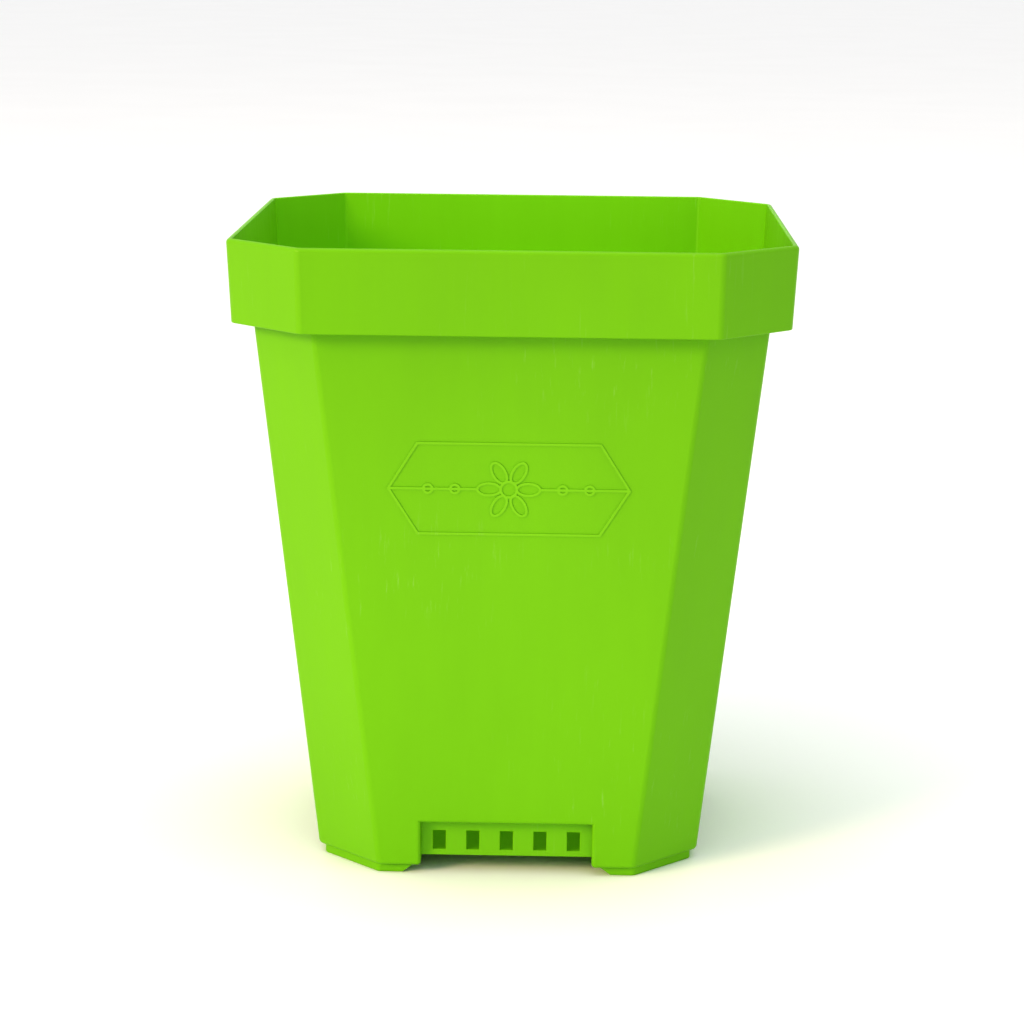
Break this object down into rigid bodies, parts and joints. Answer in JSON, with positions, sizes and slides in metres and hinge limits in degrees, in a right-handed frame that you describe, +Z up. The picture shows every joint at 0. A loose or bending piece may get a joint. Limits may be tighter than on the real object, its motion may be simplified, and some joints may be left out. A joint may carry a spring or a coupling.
{
  "type": "square plant pot",
  "caption": "Tall tapered square plant pot with cut corners, a deep overhanging collar, recessed drain grilles at floor level in its sides, and stepped corner feet.",
  "frame": {"origin": "on the ground under the middle of the pot", "axes": "+Z up, the emblem on the -Y side, +X to the right of the emblem as it is read"},
  "size_m": [0.127, 0.127, 0.1476],
  "materials": {
    "green_plastic": "satin moulded polypropylene, lime green"
  },
  "bodies": {
    "root": {"wall_front": "green_plastic", "wall_right": "green_plastic", "wall_back": "green_plastic", "wall_left": "green_plastic", "wall_corner_front_right": "green_plastic", "wall_corner_back_right": "green_plastic", "wall_corner_back_left": "green_plastic", "wall_corner_front_left": "green_plastic", "ledge_front": "green_plastic", "ledge_right": "green_plastic", "ledge_back": "green_plastic", "ledge_left": "green_plastic", "ledge_corner_front_right": "green_plastic", "ledge_corner_back_right": "green_plastic", "ledge_corner_back_left": "green_plastic", "ledge_corner_front_left": "green_plastic", "collar_front": "green_plastic", "collar_right": "green_plastic", "collar_back": "green_plastic", "collar_left": "green_plastic", "collar_corner_front_right": "green_plastic", "collar_corner_back_right": "green_plastic", "collar_corner_back_left": "green_plastic", "collar_corner_front_left": "green_plastic", "drain_grille_front": "green_plastic", "drain_grille_right": "green_plastic", "drain_grille_back": "green_plastic", "drain_grille_left": "green_plastic", "drain_ceiling_front": "green_plastic", "drain_ceiling_right": "green_plastic", "drain_ceiling_back": "green_plastic", "drain_ceiling_left": "green_plastic", "floor_arm_front": "green_plastic", "floor_arm_right": "green_plastic", "floor_arm_back": "green_plastic", "floor_arm_left": "green_plastic", "floor_middle": "green_plastic", "foot_front_right": "green_plastic", "foot_back_right": "green_plastic", "foot_back_left": "green_plastic", "foot_front_left": "green_plastic", "emblem": "green_plastic"}
  },
  "joints": []
}
